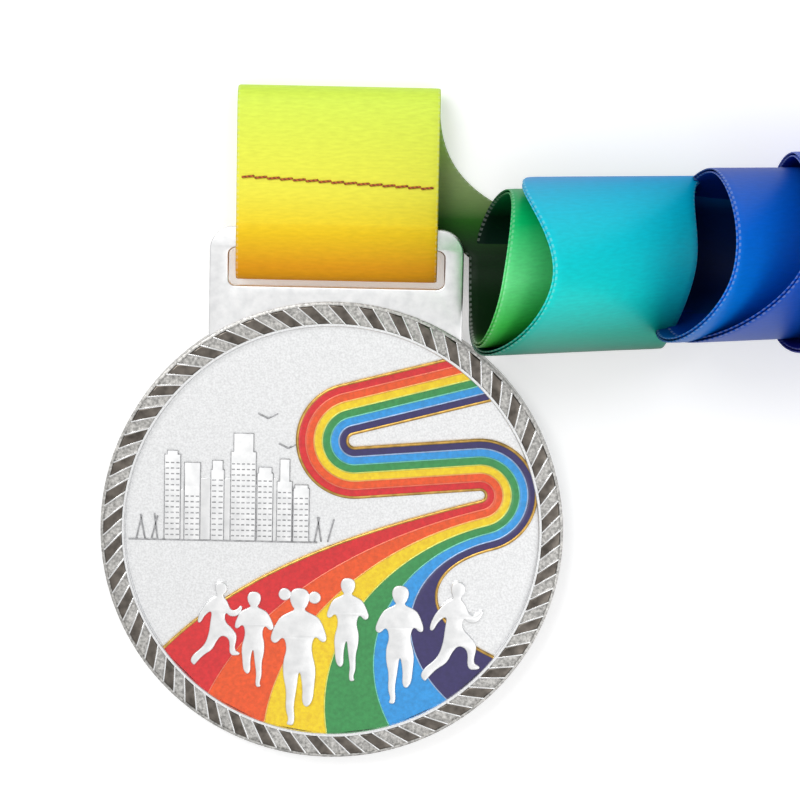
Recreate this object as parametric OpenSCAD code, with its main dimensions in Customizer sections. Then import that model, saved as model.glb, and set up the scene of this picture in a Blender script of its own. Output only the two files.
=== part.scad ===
// Sports finisher medal: a die-cast disc with a slotted hanging tab, six soft-enamel
// road lanes between raised metal lines, and a sewn neck ribbon looped through the tab.
// The medal lies face up on its flat back. X runs across the tab, Y up towards it.
// All sizes are in millimetres.

/* [Medal disc] */
// Diameter of the medal
medal_d = 70; // [55:0.5:85]
// Thickness over the raised rim
medal_t = 5; // [4.4:0.1:8]
// Depth of the field below the rim
field_drop = 1.2; // [0.9:0.1:1.5]
// Width of the raised rim
rim_w = 3.7; // [3:0.1:5]
// Number of slanted bars round the rim
bar_count = 48; // [24:4:64]
// Depth of the channel that the bars stand in
bar_relief = 0.6; // [0.2:0.1:0.8]
// Share of the rim pitch that a bar fills
bar_share = 0.5; // [0.3:0.05:0.7]
// How far a bar leans round the rim from its outer to its inner end
bar_lean = 2.6; // [0:0.1:4]

/* [Hanging tab] */
// Width of metal beside each end of the ribbon slot
tab_side_w = 2.9; // [2:0.1:5]
// Height of the tab above the disc edge
tab_rise = 11.1; // [10.8:0.1:16]
// Thickness of the tab
tab_t = 1.8; // [1.2:0.1:2.2]
// Height of the tab's lower face above the table
tab_z = 2.6; // [2.4:0.1:3]
// Radius of the tab's two top corners
tab_corner = 3.7; // [1:0.1:6]
// Width of the bar that carries the ribbon, above the slot
bar_w = 3.3; // [2.5:0.1:3.6]
// Height of the ribbon slot
slot_h = 5.6; // [5.4:0.1:7]
// Room in the slot at each edge of the ribbon
slot_side_gap = 1.1; // [0.3:0.1:2]
// Corner radius of the slot
slot_corner = 1; // [0.2:0.1:2]

/* [Relief] */
// Height of the metal lines between the enamel lanes
line_relief = 0.5; // [0.3:0.05:0.8]
// Width of the metal lines between the lanes
line_w = 0.24; // [0.16:0.02:0.5]
// Width of the metal lines at the two road edges
kerb_w = 0.5; // [0.3:0.05:0.9]
// Height of the runners above the field
runner_relief = 0.7; // [0.4:0.05:0.9]
// Height of the skyline above the field
skyline_relief = 0.25; // [0.1:0.05:0.6]

/* [Enamel road] */
// Width of the road before it fans out
road_w = 7.5; // [5:0.1:8.5]
// Thickness of the enamel
enamel_t = 0.38; // [0.2:0.02:0.6]
// Gap between the enamel and the metal lines
enamel_gap = 0.03; // [0.02:0.01:0.1]
// Centreline radius of the left-hand bend
bend_1_r = 4.9; // [4.6:0.1:6]
// Centreline radius of the right-hand bend
bend_2_r = 4.7; // [4.6:0.1:6]
// Length of the straight between the two bends
straight_len = 18.3; // [14:0.1:20]

/* [Ribbon] */
// Width of the ribbon
ribbon_w = 30; // [28:0.5:36]
// Thickness of the ribbon
ribbon_t = 0.3; // [0.2:0.05:0.4]
// Half of the distance between the middles of its two layers
layer_half_gap = 0.24; // [0.22:0.02:0.3]
// Half of the distance between the layers where they pass the bar
loop_half_gap = 2.25; // [2.2:0.05:2.4]
// Distance from the top of the tab to the seam
seam_rise = 6.9; // [6:0.1:10]
// Distance from the top of the tab to the top fold
fold_rise = 20.8; // [18:0.1:28]
// Number of quarter turns in the curl
curl_quarter_turns = 17.75; // [12:0.125:19]

/* [Seam stitches] */
// Diameter of the sewing thread
thread_d = 0.3; // [0.2:0.02:0.4]
// Distance from the ribbon's edge to the first stitch
seam_inset = 0.75; // [0.5:0.05:3]
// Number of stitches along the seam
stitch_count = 15; // [9:2:17]

/* [Hidden] */
round_fn = 96;
small_fn = 24;
overlap = 0.5;

medal_r = medal_d / 2;
field_r = medal_r - rim_w;
field_z = medal_t - field_drop;
scale_xy = field_r / 31.3;
outer_band = 0.5;
inner_lip = 0.5;
edge_chamfer = 0.5;
band_drop = 0.2;
channel_z = medal_t - bar_relief;

tab_top = medal_r + tab_rise;
slot_w = ribbon_w + 2 * slot_side_gap;
tab_w = slot_w + 2 * tab_side_w;
slot_top = tab_top - bar_w;
slot_bottom = slot_top - slot_h;
bar_y = tab_top - bar_w / 2;
bar_z = tab_z + tab_t / 2;

// ---------- small helpers ----------

function unit(v) = v / norm(v);
function dir(a) = [cos(a), sin(a)];
function left_of(a) = [-sin(a), cos(a)];
function blend(a, b, t) = a + (b - a) * t;
function smooth(t) = t * t * (3 - 2 * t);
function reverse(list) = [for (i = [len(list) - 1:-1:0]) list[i]];

// A point on the curve through p1 and p2, at t from 0 to 1.
function spline(p0, p1, p2, p3, t) =
    (2 * p1 + (p2 - p0) * t + (2 * p0 - 5 * p1 + 4 * p2 - p3) * t * t
    + (3 * p1 - p0 - 3 * p2 + p3) * t * t * t) / 2;

// The same curve through a whole list, at a position counted in list steps.
function along(list, s) =
    let (last = len(list) - 1, i = min(max(floor(s), 0), last - 1))
    spline(list[max(i - 1, 0)], list[i], list[i + 1], list[min(i + 2, last)], s - i);

function bezier(p0, p1, p2, p3, t) =
    p0 * pow(1 - t, 3) + p1 * 3 * t * pow(1 - t, 2) + p2 * 3 * t * t * (1 - t) + p3 * pow(t, 3);

// Rounds a closed outline by cutting its corners.
function soften(list) = [
    for (i = [0:len(list) - 1], side = [0.25, 0.75])
        blend(list[i], list[(i + 1) % len(list)], side)
];

module bar_between(a, b, w) {
    length = norm(b - a);
    translate(a) rotate(atan2(b[1] - a[1], b[0] - a[0])) translate([0, -w / 2]) square([length, w]);
}

module raised(height) {
    translate([0, 0, field_z - overlap]) linear_extrude(overlap + height) children();
}

// ---------- the road ----------

lane_count = 6;
heading_in = 195;
heading_mid = 5;
bend_2_centre = [22.3, 6] * scale_xy;
run_2_end = bend_2_centre + bend_2_r * left_of(heading_mid);
run_2_start = run_2_end - straight_len * dir(heading_mid);
bend_1_centre = run_2_start + bend_1_r * left_of(heading_mid);
run_1_end = bend_1_centre - bend_1_r * left_of(heading_in);
run_1_len = 23 * scale_xy;
road_end = bend_2_centre + bend_2_r * left_of(heading_in);
fan_rim_angle = [216.4, 322.8];
fan_heading = [226, 336];
fan_start_pull = [20, 12] * scale_xy;
fan_end_pull = [17, 13] * scale_xy;
rim_reach = 0.6;
bend_steps = 20;
fan_steps = 22;

// Edge k of the road, from 0 on the red side to 6 on the indigo side, moved by d towards indigo.
function road_offset(k, d) = road_w * (k / lane_count - 0.5) + d;

function fan_curve(k, t) =
    let (
        share = k / lane_count,
        start = road_end + road_offset(k, 0) * left_of(heading_in),
        finish = (field_r + rim_reach) * dir(blend(fan_rim_angle[0], fan_rim_angle[1], share)),
        heading = blend(fan_heading[0], fan_heading[1], share)
    )
    bezier(
        start,
        start + blend(fan_start_pull[0], fan_start_pull[1], share) * dir(heading_in),
        finish - blend(fan_end_pull[0], fan_end_pull[1], share) * dir(heading),
        finish, t);

function fan_point(k, d, t) =
    let (ahead = fan_curve(k, t + 0.002) - fan_curve(k, t - 0.002))
    fan_curve(k, t) + d * unit([-ahead[1], ahead[0]]);

// The fan's points start a step in, so that they join the bend smoothly.
function road_edge(k, d) = concat(
    [run_1_end - run_1_len * dir(heading_in) + road_offset(k, d) * left_of(heading_in)],
    [for (i = [0:bend_steps])
        let (a = blend(heading_in, heading_mid + 360, i / bend_steps))
        bend_1_centre - (bend_1_r - road_offset(k, d)) * left_of(a)],
    [for (i = [0:bend_steps])
        let (a = blend(heading_mid + 360, heading_in, i / bend_steps))
        bend_2_centre + (bend_2_r + road_offset(k, d)) * left_of(a)],
    [for (i = [1:fan_steps]) fan_point(k, d, i / fan_steps)]);

module road_strip(k_1, d_1, k_2, d_2) {
    intersection() {
        polygon(concat(road_edge(k_1, d_1), reverse(road_edge(k_2, d_2))));
        circle(r = field_r, $fn = round_fn);
    }
}

module lane(i) {
    inner = line_w / 2 + enamel_gap;
    outer = kerb_w / 2 + enamel_gap;
    first = i == 0 ? outer : inner;
    last = i == lane_count - 1 ? outer : inner;
    translate([0, 0, field_z]) linear_extrude(enamel_t) difference() {
        road_strip(i, first, i + 1, -last);
        runners();
        runners(enamel_gap);
    }
}

module road_lines() {
    for (k = [0:lane_count]) {
        half = (k == 0 || k == lane_count ? kerb_w : line_w) / 2;
        raised(line_relief) road_strip(k, -half, k, half);
    }
}

// ---------- the runners, each one outline a unit high ----------

front_pose = [
    [0, 1], [0.055, 0.985], [0.075, 0.93], [0.055, 0.865], [0.03, 0.84], [0.12, 0.8], [0.155, 0.76],
    [0.2, 0.66], [0.2, 0.61], [0.16, 0.59], [0.11, 0.65], [0.085, 0.56], [0.112, 0.47], [0.11, 0.36],
    [0.085, 0.26], [0.09, 0.12], [0.065, 0.05], [0.085, 0.01], [0.03, 0], [0.02, 0.06], [0.03, 0.14],
    [0.01, 0.28], [-0.005, 0.42], [-0.03, 0.28], [-0.025, 0.17], [-0.06, 0.13], [-0.105, 0.18],
    [-0.115, 0.3], [-0.125, 0.42], [-0.085, 0.56], [-0.11, 0.66], [-0.165, 0.6], [-0.205, 0.63],
    [-0.155, 0.765], [-0.12, 0.8], [-0.03, 0.84], [-0.055, 0.865], [-0.075, 0.93], [-0.055, 0.985]
];
side_pose = [
    [0.07, 1], [0.13, 0.975], [0.15, 0.92], [0.13, 0.86], [0.09, 0.84], [0.15, 0.77], [0.18, 0.68],
    [0.24, 0.66], [0.3, 0.73], [0.33, 0.7], [0.27, 0.59], [0.17, 0.59], [0.13, 0.64], [0.115, 0.54],
    [0.22, 0.44], [0.27, 0.36], [0.23, 0.2], [0.3, 0.17], [0.29, 0.13], [0.17, 0.13], [0.18, 0.32],
    [0.09, 0.37], [0.03, 0.3], [-0.02, 0.19], [-0.12, 0.13], [-0.2, 0.04], [-0.23, 0], [-0.28, 0.06],
    [-0.24, 0.14], [-0.14, 0.22], [-0.09, 0.3], [-0.06, 0.42], [-0.05, 0.52], [-0.03, 0.66],
    [-0.11, 0.6], [-0.16, 0.5], [-0.205, 0.52], [-0.16, 0.66], [-0.05, 0.79], [0.03, 0.83],
    [0.01, 0.87], [0, 0.93], [0.02, 0.98]
];
bunch_places = [[0.105, 0.95], [-0.105, 0.93]];
bunch_r = 0.045;

// Each runner: foot x, foot y, height, pose (0 front, 1 side), facing, hair in bunches
runner_list = [
    [-17.6, -21.2, 13.2, 1, 1, 0],
    [-11.6, -24.4, 15.0, 0, 1, 0],
    [-4.7, -30.3, 21.6, 0, -1, 1],
    [2.6, -23.2, 16.2, 0, 1, 0],
    [10.6, -26.6, 18.6, 0, -1, 0],
    [18.2, -23.0, 15.8, 1, 1, 0]
];

module runner(spec, grow) {
    pose = spec[3] == 0 ? front_pose : side_pose;
    size = spec[2] * scale_xy;
    foot = [spec[0], spec[1]] * scale_xy;
    outline = [for (p = soften(pose)) foot + size * [p[0] * spec[4], p[1]]];
    polygon(grow == 0 ? outline : grown(outline, grow * spec[4]));
    if (spec[5] == 1) {
        for (p = bunch_places) {
            translate(foot + size * [p[0] * spec[4], p[1]]) circle(r = bunch_r * size + grow, $fn = small_fn);
        }
    }
}

// Moves each point of a clockwise outline outwards by d.
function grown(list, d) = [
    for (i = [0:len(list) - 1])
        let (
            before = list[(i + len(list) - 1) % len(list)],
            after = list[(i + 1) % len(list)],
            run = unit(after - before)
        )
        list[i] + d * [-run[1], run[0]]
];

module runners(grow = 0) {
    for (spec = runner_list) runner(spec, grow);
}

// ---------- the skyline ----------

horizon_y = -1.65;
// Each tower: left edge, width, height, roof width, roof height
tower_list = [
    [-25.4, 2.4, 13.0, 1.6, 0.6],
    [-22.4, 2.4, 8.2, 2.4, 3.6],
    [-18.4, 2.0, 10.8, 1.6, 1.4],
    [-15.4, 3.8, 13.6, 3.0, 2.8],
    [-11.4, 2.4, 10.4, 2.0, 0.9],
    [-8.4, 2.3, 9.2, 1.5, 3.4],
    [-5.9, 2.4, 8.2, 2.0, 0.5]
];
low_block_list = [[-23.2, 1.0, 7.6], [-20.0, 1.6, 9.4], [-16.5, 1.2, 9.4], [-11.7, 0.5, 8.6], [-9.1, 0.9, 9.6]];
reed_list = [[-29.6, 0.8], [-28.3, -0.7], [-27.3, 0.9], [-26.4, -0.5], [-2.6, 0.7], [-1.6, -0.6], [-0.6, 0.9]];
reed_h = 4.4;
bird_list = [[-9.9, 17.1, 3.0], [-6.8, 12.6, 2.8]];

module skyline() {
    for (t = tower_list) {
        translate([t[0], horizon_y]) square([t[1], t[2]]);
        translate([t[0] + (t[1] - t[3]) / 2, horizon_y]) square([t[3], t[2] + t[4]]);
    }
    for (b = low_block_list) translate([b[0], horizon_y]) square([b[1], b[2]]);
    for (r = reed_list) bar_between([r[0], horizon_y], [r[0] + r[1], horizon_y + reed_h - abs(r[1])], line_w);
    for (b = bird_list, side = [-1, 1]) {
        bar_between([b[0], b[1]], [b[0] + side * b[2] / 2, b[1] + b[2] / 4], line_w);
    }
    translate([-30.8, horizon_y - line_w]) square([28.6, line_w + 0.1]);
}

// ---------- the casting ----------

module disc() {
    rotate_extrude($fn = round_fn) polygon([
        [0, 0],
        [medal_r - edge_chamfer, 0],
        [medal_r, edge_chamfer],
        [medal_r, medal_t - band_drop - edge_chamfer / 2],
        [medal_r - edge_chamfer / 2, medal_t - band_drop],
        [medal_r - outer_band, medal_t - band_drop],
        [medal_r - outer_band, channel_z],
        [field_r + inner_lip, channel_z],
        [field_r + inner_lip, medal_t - band_drop],
        [field_r, medal_t - band_drop - 0.1],
        [field_r, field_z],
        [0, field_z]
    ]);
}

function polar(r, a) = r * dir(a);

module rim_bars() {
    pitch = 360 / bar_count;
    sink = 0.05;
    r_out = medal_r - outer_band + sink;
    r_in = field_r + inner_lip - sink;
    lean = bar_lean / r_in * 180 / PI;
    half = pitch * bar_share / 2;
    for (i = [0:bar_count - 1]) {
        a = i * pitch;
        translate([0, 0, channel_z - overlap]) linear_extrude(bar_relief + overlap) polygon([
            polar(r_out, a - half), polar(r_out, a + half),
            polar(r_in, a + half - lean), polar(r_in, a - half - lean)
        ]);
    }
}

module tab() {
    translate([0, 0, tab_z]) linear_extrude(tab_t) difference() {
        union() {
            translate([-tab_w / 2, medal_r / 2]) square([tab_w, tab_top - tab_corner - medal_r / 2]);
            translate([-tab_w / 2 + tab_corner, medal_r]) square([tab_w - 2 * tab_corner, tab_rise]);
            for (side = [-1, 1]) {
                translate([side * (tab_w / 2 - tab_corner), tab_top - tab_corner]) circle(r = tab_corner, $fn = round_fn);
            }
        }
        circle(r = medal_r - outer_band, $fn = round_fn);
        slot_outline();
    }
}

module slot_outline() {
    translate([-slot_w / 2 + slot_corner, slot_bottom]) square([slot_w - 2 * slot_corner, slot_h]);
    translate([-slot_w / 2, slot_bottom + slot_corner]) square([slot_w, slot_h - 2 * slot_corner]);
    for (x = [-1, 1], y = [slot_bottom + slot_corner, slot_top - slot_corner]) {
        translate([x * (slot_w / 2 - slot_corner), y]) circle(r = slot_corner, $fn = small_fn);
    }
}

module medal_casting() {
    color([0.86, 0.87, 0.88]) union() {
        disc();
        rim_bars();
        tab();
        road_lines();
        raised(runner_relief) runners();
        raised(skyline_relief) difference() {
            scale([scale_xy, scale_xy]) skyline();
            road_strip(0, 0, lane_count, 0);
        }
    }
}

module enamel_red() { color([0.78, 0.06, 0.07]) lane(0); }
module enamel_orange() { color([0.93, 0.27, 0.05]) lane(1); }
module enamel_yellow() { color([1, 0.8, 0.04]) lane(2); }
module enamel_green() { color([0.1, 0.45, 0.14]) lane(3); }
module enamel_blue() { color([0.14, 0.5, 0.83]) lane(4); }
module enamel_indigo() { color([0.13, 0.11, 0.28]) lane(5); }

// ---------- the ribbon ----------
// Its two layers follow one middle path. A path step is [x, y, z, lean of the width, half gap].

lift = 0.55;
seam_at = tab_top + seam_rise;
loop_start_y = slot_bottom + loop_half_gap + 1;
loop_end_y = bar_y + 2;
front_z = bar_z + loop_half_gap;
fold_r = (front_z - layer_half_gap - lift) / 2;
fold_centre = [tab_top + fold_rise - fold_r - layer_half_gap, lift + fold_r];

// Stations of the curl, one for each quarter turn: distance from the side of the tab to the
// ribbon's left edge, radius, height of the axis, shift of the axis along Y
curl_stations = [
    [0.8, 11.2, 12.9, 0], [1.5, 10.9, 12.9, 0], [5, 10.6, 12.9, 0], [6, 11.2, 12.9, 0],
    [1.6, 12.3, 12.9, 0.3], [2, 12.6, 12.9, 0.6], [11.8, 12.7, 13, 0.4], [8.2, 12.7, 13.2, 0.4],
    [27, 12, 14.5, 1.8], [28.5, 12, 14.6, 2.6], [36.8, 11.6, 14.6, 2.6], [35.1, 12.8, 14.6, 2.2],
    [30, 13, 14.6, 3], [31, 13.3, 14.6, 4], [46.4, 13.2, 14.6, 4], [46.5, 14, 14.6, 3.6],
    [45, 14, 14.6, 4], [47, 14.4, 14.6, 4], [58, 14.4, 14.6, 4], [57, 14.4, 14.6, 4],
    [58, 14.4, 14.6, 4]
];
curl_y = bar_y - 2.65;
lean_high = 44;
curl_steps = 8;
under_steps = 18;

function curl_step(q) =
    let (
        s = along(curl_stations, q),
        turn = 90 * q,
        lean = lean_high * (1 - cos(turn)) / 2
    )
    [tab_w / 2 + s[0] + ribbon_w / 2 * cos(lean),
     curl_y + s[3] - s[1] * sin(turn),
     s[2] - s[1] * cos(turn),
     lean, layer_half_gap];

under_end = curl_step(0);

function under_step(t) =
    let (
        start = [0, fold_centre[0], lift],
        finish = [under_end[0], under_end[1], under_end[2]],
        p = bezier(start, start + [0, -21, 0], finish + [-5, 6, 0], finish, t)
    )
    [p[0], p[1], blend(lift, under_end[2], pow(t, 8)), 0, layer_half_gap];

function open_gap(t) = blend(loop_half_gap, layer_half_gap, smooth(t));

path = concat(
    [for (i = [0:4]) [0, blend(loop_start_y, loop_end_y, i / 4), bar_z, 0, loop_half_gap]],
    [for (i = [1:8])
        let (g = open_gap(i / 8))
        [0, blend(loop_end_y, seam_at - 1.5, i / 8), front_z - g, 0, g]],
    [for (i = [0:3]) [0, blend(seam_at - 0.5, fold_centre[0], i / 3), front_z - layer_half_gap, 0, layer_half_gap]],
    [for (i = [1:11])
        let (a = 90 - 180 * i / 12)
        [0, fold_centre[0] + fold_r * cos(a), fold_centre[1] + fold_r * sin(a), 0, layer_half_gap]],
    [for (i = [0:under_steps - 1]) under_step(i / under_steps)],
    [for (i = [0:curl_quarter_turns * curl_steps]) curl_step(i / curl_steps)]);

function middle(s) = [s[0], s[1], s[2]];
function width_of(s) = [cos(s[3]), 0, -sin(s[3])];
function path_run(i) = unit(middle(path[min(i + 1, len(path) - 1)]) - middle(path[max(i - 1, 0)]));
function path_normal(i) = unit(cross(width_of(path[i]), path_run(i)));
function layer_point(i, side) = middle(path[i]) + side * path[i][4] * path_normal(i);

// A half circle of points that joins the two layers beyond one end of the path.
function end_turn(i, out, first_side) = [
    for (a = [22.5:22.5:157.5])
        middle(path[i]) + path[i][4] * (first_side * cos(a) * path_normal(i) + out * sin(a) * path_run(i))
];

path_last = len(path) - 1;
band = concat(
    [for (i = [0:path_last]) layer_point(i, 1)],
    end_turn(path_last, 1, 1),
    [for (i = [path_last:-1:0]) layer_point(i, -1)],
    end_turn(0, -1, -1));
turn_points = len(end_turn(0, -1, -1));
band_width = concat(
    [for (i = [0:path_last]) width_of(path[i])],
    [for (i = [1:turn_points]) width_of(path[path_last])],
    [for (i = [path_last:-1:0]) width_of(path[i])],
    [for (i = [1:turn_points]) width_of(path[0])]);
band_count = len(band);

function band_normal(i) =
    unit(cross(band_width[i], band[(i + 1) % band_count] - band[(i + band_count - 1) % band_count]));

module neck_ribbon() {
    corners = [[-1, -1], [1, -1], [1, 1], [-1, 1]];
    points = [for (i = [0:band_count - 1], c = corners)
        band[i] + c[0] * ribbon_w / 2 * band_width[i] + c[1] * ribbon_t / 2 * band_normal(i)];
    // both faces of both layers are split along the same diagonal, so a twisted stretch keeps its thickness
    faces = [for (i = [0:band_count - 1], c = [0:3], half = [0, 1])
        let (
            near = [4 * i + c, 4 * i + (c + 1) % 4],
            far = near + 4 * ((i + 1) % band_count - i) * [1, 1],
            upper_face = c == 2,
            return_layer = i > path_last
        )
        upper_face == return_layer
            ? (half == 0 ? [near[0], far[1], far[0]] : [near[0], near[1], far[1]])
            : (half == 0 ? [near[0], near[1], far[0]] : [near[1], far[1], far[0]])];
    color([0.05, 0.62, 0.62]) polyhedron(points, faces);
}

// ---------- the seam ----------

stitch_gap = 0.3;
stitch_slant = 8;
seam_slant = -2.6;
thread_clear = 0.01;

module stitch(reach) {
    rotate([0, 0, stitch_slant]) {
        rotate([0, 90, 0]) cylinder(h = 2 * reach, d = thread_d, center = true, $fn = small_fn);
        for (side = [-1, 1]) translate([side * reach, 0, 0]) sphere(d = thread_d, $fn = small_fn);
    }
}

module stitch_row(z) {
    stitch_len = (ribbon_w - 2 * seam_inset) / stitch_count;
    reach = (stitch_len - stitch_gap - thread_d) / 2;
    for (i = [0:stitch_count - 1]) {
        x = (i - (stitch_count - 1) / 2) * stitch_len;
        translate([0, seam_at, z]) rotate([0, 0, seam_slant]) translate([x, 0, 0]) stitch(reach);
    }
}

module needle_thread() {
    color([0.62, 0.2, 0.04]) stitch_row(front_z + (ribbon_t + thread_d) / 2 + thread_clear);
}

module bobbin_thread() {
    color([0.62, 0.2, 0.04])
        stitch_row(front_z - 2 * layer_half_gap - (ribbon_t + thread_d) / 2 - thread_clear);
}

medal_casting();
enamel_red();
enamel_orange();
enamel_yellow();
enamel_green();
enamel_blue();
enamel_indigo();
neck_ribbon();
needle_thread();
bobbin_thread();
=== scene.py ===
import math
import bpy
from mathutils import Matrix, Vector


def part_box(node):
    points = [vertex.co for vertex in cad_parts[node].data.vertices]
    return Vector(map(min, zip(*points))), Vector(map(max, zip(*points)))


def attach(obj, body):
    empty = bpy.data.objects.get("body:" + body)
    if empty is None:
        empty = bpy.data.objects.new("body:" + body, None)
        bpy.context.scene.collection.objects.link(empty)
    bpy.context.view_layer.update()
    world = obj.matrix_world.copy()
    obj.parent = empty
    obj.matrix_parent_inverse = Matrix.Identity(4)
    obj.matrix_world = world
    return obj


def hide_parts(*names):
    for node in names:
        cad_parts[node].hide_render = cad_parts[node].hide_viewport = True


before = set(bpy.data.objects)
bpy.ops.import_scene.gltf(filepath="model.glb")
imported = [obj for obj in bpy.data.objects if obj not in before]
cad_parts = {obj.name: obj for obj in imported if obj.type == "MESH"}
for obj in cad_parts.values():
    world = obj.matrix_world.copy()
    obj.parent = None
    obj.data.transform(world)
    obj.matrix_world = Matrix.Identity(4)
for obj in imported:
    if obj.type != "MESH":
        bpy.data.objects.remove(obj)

from types import SimpleNamespace

import bmesh
import bpy
from mathutils import Matrix, Vector

bl_info = {
    "name": "Finisher medal",
    "version": (1, 0, 0),
    "blender": (4, 5, 0),
    "location": "View3D > Sidebar > Medal",
    "description": "Builds a finisher medal with enamel lanes on a sewn neck ribbon, piece by piece",
    "category": "Object",
}

MM = 0.001
LANES = ("red", "orange", "yellow", "green", "blue", "indigo")


# The field's radius that the road, the runners and the skyline are drawn for, in millimetres
DRAWN_FIELD_R = 31.3
# How far raised pieces reach down into the field
SINK = 0.1 * MM


# ---------------------------------------------------------------- settings

# Both sides together: the room beside the ribbon in the slot, and the metal beside the slot
SLOT_ROOM = 2.2 * MM
TAB_SIDES = 5.8 * MM


def length(name, description, millimetres):
    return bpy.props.FloatProperty(
        name=name, description=description, default=millimetres * MM, unit="LENGTH")


def colour(name, description, value):
    return bpy.props.FloatVectorProperty(
        name=name, description=description, default=value, subtype="COLOR")


class MedalSettings(bpy.types.PropertyGroup):
    """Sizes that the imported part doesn't give by its boxes, and the colours of the pieces."""

    rim_width: length("Rim width", "Width of the raised rim", 3.7)
    field_drop: length("Field drop", "Depth of the field below the rim", 1.2)
    bar_count: bpy.props.IntProperty(
        name="Rim bars", description="Number of slanted bars round the rim", default=48)
    bar_relief: length("Bar relief", "Depth of the channel round the bars", 0.6)
    tab_thickness: length("Tab thickness", "Thickness of the hanging tab", 1.8)
    tab_height: length("Tab height", "Height of the tab's lower face", 2.6)
    slot_height: length("Slot height", "Height of the ribbon slot", 5.6)
    bar_width: length("Bar width", "Width of the bar above the slot", 3.3)
    road_width: length("Road width", "Width of the road before it fans out", 7.5)
    line_relief: length("Line relief", "Height of the metal lines", 0.5)
    line_width: length("Line width", "Width of the lines between lanes", 0.24)
    kerb_width: length("Kerb width", "Width of the lines at the road's edges", 0.5)
    enamel_thickness: length("Enamel thickness", "Thickness of the enamel", 0.38)
    runner_relief: length("Runner relief", "Height of the runners", 0.7)
    skyline_relief: length("Skyline relief", "Height of the skyline", 0.25)
    ribbon_width: length("Ribbon width", "Width of the neck ribbon", 30)
    ribbon_thickness: length("Ribbon thickness", "Thickness of the neck ribbon", 0.3)
    silver: colour("Silver", "Colour of the casting", (0.94, 0.945, 0.95))
    # The rim bars' dark colour on the silver is painted shade and dark reflection
    polished: colour("Rim bars painted dark", "Colour of the rim bars", (0.13, 0.115, 0.1))
    gold: colour("Kerb gold", "Colour of the kerb lines", (0.62, 0.38, 0.1))
    red: colour("Red lane", "Colour of the red enamel", (0.72, 0.02, 0.025))
    orange: colour("Orange lane", "Colour of the orange enamel", (0.88, 0.1, 0.015))
    yellow: colour("Yellow lane", "Colour of the yellow enamel", (1.0, 0.66, 0.01))
    green: colour("Green lane", "Colour of the green enamel", (0.04, 0.3, 0.08))
    blue: colour("Blue lane", "Colour of the blue enamel", (0.03, 0.33, 0.78))
    indigo: colour("Indigo lane", "Colour of the indigo enamel", (0.035, 0.025, 0.13))
    thread: colour("Thread", "Colour of the sewing thread", (0.42, 0.09, 0.015))


def medal_sizes():
    """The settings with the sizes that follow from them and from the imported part."""
    given = bpy.context.scene.medal_settings
    low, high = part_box("medal_casting")
    s = SimpleNamespace(given=given)
    s.medal_r = -low.x
    s.medal_t = high.z
    s.tab_top = high.y
    s.field_r = s.medal_r - given.rim_width
    s.field_z = s.medal_t - given.field_drop
    s.channel_z = s.medal_t - given.bar_relief
    s.slot_w = given.ribbon_width + SLOT_ROOM
    s.tab_w = s.slot_w + TAB_SIDES
    s.slot_top = s.tab_top - given.bar_width
    s.slot_bottom = s.slot_top - given.slot_height
    s.bar_y = s.tab_top - given.bar_width / 2
    s.bar_z = given.tab_height + given.tab_thickness / 2
    return s


# ---------------------------------------------------------------- mesh helpers


def add_object(name, data):
    piece = bpy.data.objects.new(name, data)
    bpy.context.scene.collection.objects.link(piece)
    return piece


def mesh_piece(name, points, faces, sharp=35):
    """A smooth-shaded mesh with outward normals and the creases kept."""
    mesh = bpy.data.meshes.new(name)
    mesh.from_pydata([tuple(p) for p in points], [], faces)
    return add_object(name, finish_mesh(mesh, sharp))


def finish_mesh(mesh, sharp=35):
    work = bmesh.new()
    work.from_mesh(mesh)
    bmesh.ops.remove_doubles(work, verts=work.verts, dist=0.0005 * MM)
    bmesh.ops.recalc_face_normals(work, faces=work.faces)
    work.to_mesh(mesh)
    work.free()
    mesh.shade_smooth()
    mesh.set_sharp_from_angle(angle=math.radians(sharp))
    return mesh


def plain_mesh(piece, name, sharp=35):
    """Replaces a piece's live modifiers or curve by the plain mesh they make."""
    bpy.context.view_layer.update()
    graph = bpy.context.evaluated_depsgraph_get()
    mesh = bpy.data.meshes.new_from_object(piece.evaluated_get(graph))
    bpy.data.objects.remove(piece)
    mesh.name = name
    return add_object(name, finish_mesh(mesh, sharp))


def lathe(name, profile, turns, sharp=35):
    """Turns an outline of (radius, height) points about Z. Its ends lie on the axis."""
    points, faces = [], []
    count = len(profile)
    for i in range(turns):
        a = 2 * math.pi * i / turns
        points += [(r * math.cos(a), r * math.sin(a), z) for r, z in profile]
    for i in range(turns):
        j = (i + 1) % turns
        for k in range(count - 1):
            quad = (i * count + k, j * count + k, j * count + k + 1, i * count + k + 1)
            faces.append(quad)
    return mesh_piece(name, points, faces, sharp)


def tube_faces(rings, size, closed):
    """Faces between rings of points; open tubes get a cap at each end."""
    faces = []
    for i in range(rings if closed else rings - 1):
        j = (i + 1) % rings
        for k in range(size):
            m = (k + 1) % size
            faces.append((i * size + k, j * size + k, j * size + m, i * size + m))
    if not closed:
        faces.append(tuple(range(size)))
        faces.append(tuple((rings - 1) * size + k for k in reversed(range(size))))
    return faces


def pressed(name, outlines, low, high, bevel, sharp=35):
    """A flat plate with rounded upper and lower edges. Outlines inside others are holes."""
    curve = bpy.data.curves.new(name, "CURVE")
    curve.dimensions = "2D"
    curve.fill_mode = "BOTH"
    for outline in outlines:
        line = curve.splines.new("POLY")
        line.points.add(len(outline) - 1)
        for point, place in zip(line.points, outline):
            point.co = (place[0], place[1], 0, 1)
        line.use_cyclic_u = True
    curve.extrude = (high - low) / 2 - bevel
    curve.bevel_depth = bevel
    curve.bevel_resolution = 2
    curve.offset = -bevel
    piece = plain_mesh(add_object(name + "_curve", curve), name, sharp)
    for vertex in piece.data.vertices:
        vertex.co.z += (low + high) / 2
    return piece


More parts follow.
